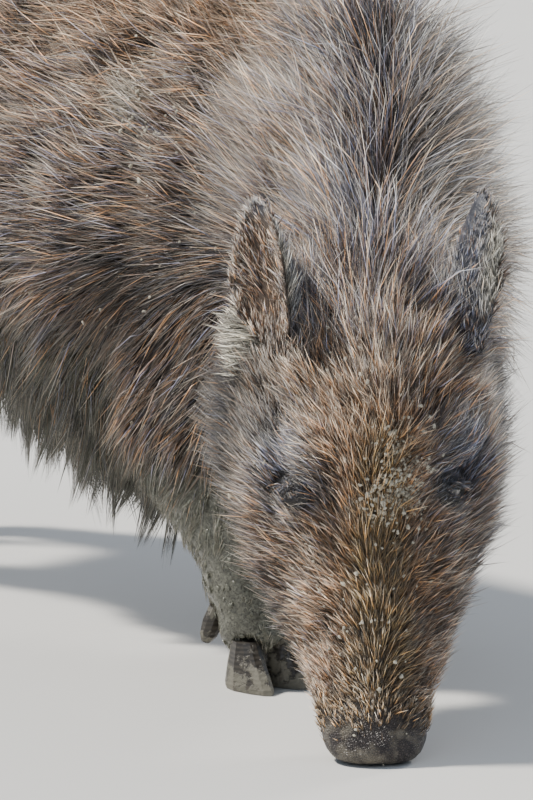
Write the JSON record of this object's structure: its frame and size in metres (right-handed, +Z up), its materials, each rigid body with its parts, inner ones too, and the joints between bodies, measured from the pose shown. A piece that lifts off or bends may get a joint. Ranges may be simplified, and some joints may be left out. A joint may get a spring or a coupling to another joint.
{
  "type": "wild boar, still model",
  "caption": "Life-size still model of a young wild boar rooting, head lowered and turned to its right, snout on the floor.",
  "frame": {"origin": "middle of the bounding box's underside, on the floor", "axes": "+Z up; -Y forwards, the way the trunk faces; +X is the boar's left; the tail is at +Y"},
  "size_m": [0.4414, 1.1082, 0.6303],
  "materials": {
    "hide": "rough bristly coat",
    "snout_skin": "bare damp skin",
    "horn": "worn hoof horn",
    "eye": "wet gloss"
  },
  "bodies": {
    "root": {"trunk": "hide", "neck": "hide", "head": "hide", "lower_jaw": "hide", "tail": "hide", "ear_left": "hide", "ear_right": "hide", "foreleg_left": "hide", "foreleg_right": "hide", "hindleg_left": "hide", "hindleg_right": "hide", "snout": "snout_skin", "eye_left": "eye", "eye_right": "eye", "hoof_fore_left_outer": "horn", "hoof_fore_left_inner": "horn", "hoof_fore_right_outer": "horn", "hoof_fore_right_inner": "horn", "hoof_hind_left_outer": "horn", "hoof_hind_left_inner": "horn", "hoof_hind_right_outer": "horn", "hoof_hind_right_inner": "horn", "dewclaw_fore_left_outer": "horn", "dewclaw_fore_left_inner": "horn", "dewclaw_fore_right_outer": "horn", "dewclaw_fore_right_inner": "horn", "dewclaw_hind_left_outer": "horn", "dewclaw_hind_left_inner": "horn", "dewclaw_hind_right_outer": "horn", "dewclaw_hind_right_inner": "horn"}
  },
  "joints": []
}
